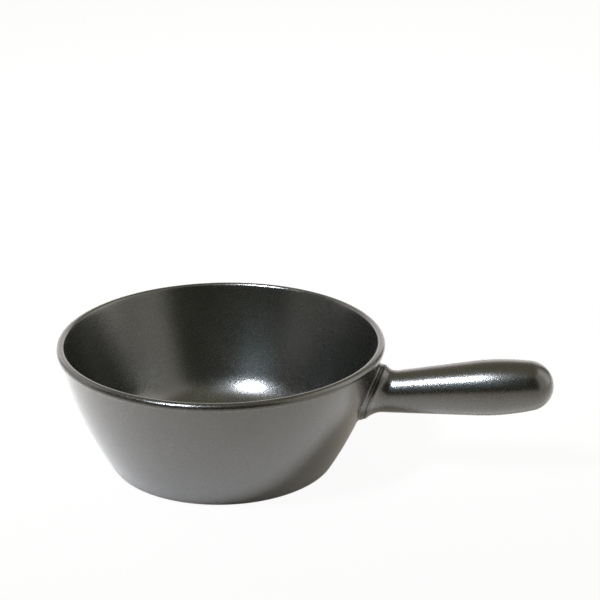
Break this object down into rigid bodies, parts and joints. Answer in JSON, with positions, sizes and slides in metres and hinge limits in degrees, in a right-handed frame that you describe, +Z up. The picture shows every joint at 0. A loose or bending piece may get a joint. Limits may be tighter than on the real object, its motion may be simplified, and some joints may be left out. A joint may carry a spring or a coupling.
{
  "type": "fondue pot",
  "caption": "Low flared bowl with a rounded lip and a tapered stick handle luted to its side, for serving warm cheese or sauce.",
  "frame": {"origin": "middle of the flat base, on the surface it stands on", "axes": "+Z up, +X from the bowl's axis towards the handle"},
  "size_m": [0.2486, 0.165, 0.0642],
  "materials": {
    "glaze": "satin",
    "joint_glaze": "satin"
  },
  "bodies": {
    "root": {"bowl": "glaze", "luting_ring": "joint_glaze", "handle": "glaze"}
  },
  "joints": []
}
